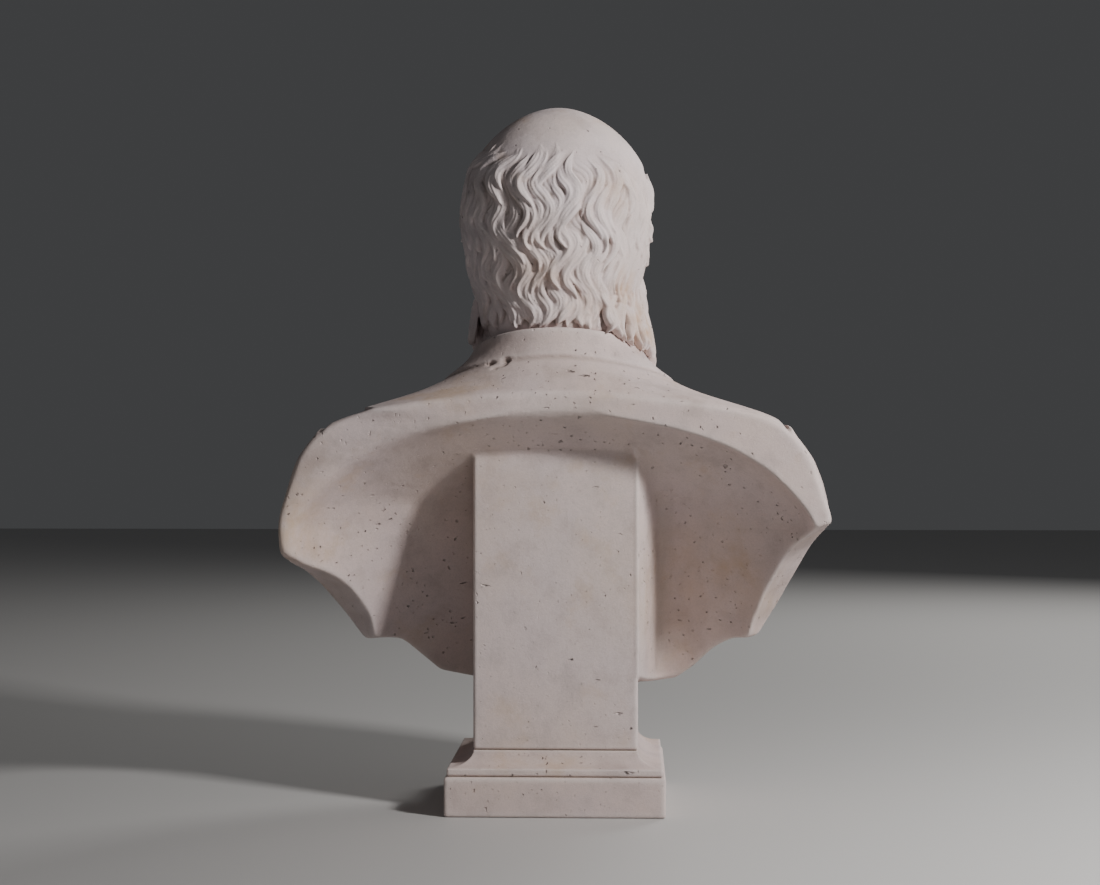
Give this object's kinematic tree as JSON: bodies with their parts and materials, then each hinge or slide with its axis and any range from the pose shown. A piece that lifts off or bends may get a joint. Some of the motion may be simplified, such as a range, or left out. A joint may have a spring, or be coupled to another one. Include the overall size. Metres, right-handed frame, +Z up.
{
  "type": "marble bust",
  "caption": "Life-size pale stone bust of a bearded figure in a coat, hollowed behind, on a rear pier, moulded socle and square plinth.",
  "frame": {"origin": "centre of the whole object's box at the underside of the plinth", "axes": "+Z up, the bust faces -Y with its hollow back towards +Y, and +X is to its left"},
  "size_m": [0.4934, 0.2399, 0.655],
  "materials": {
    "stone": "honed and weathered, with small open pits and ochre stains",
    "mortar": "matte lime mortar",
    "steel": "plain stainless steel",
    "resin": "cured anchoring resin",
    "cork": "pressed cork"
  },
  "bodies": {
    "root": {"plinth": "stone", "plinth_joint": "mortar", "socle_moulding": "stone", "pier_joint": "mortar", "coat": "stone", "neck_joint": "mortar", "head": "stone", "neck_dowel": "steel", "tie_rod": "steel", "rod_anchor": "resin", "tie_washer": "steel", "tie_nut": "steel", "base_cap": "cork", "plinth_pins": "steel", "pier_pins": "steel"}
  },
  "joints": []
}
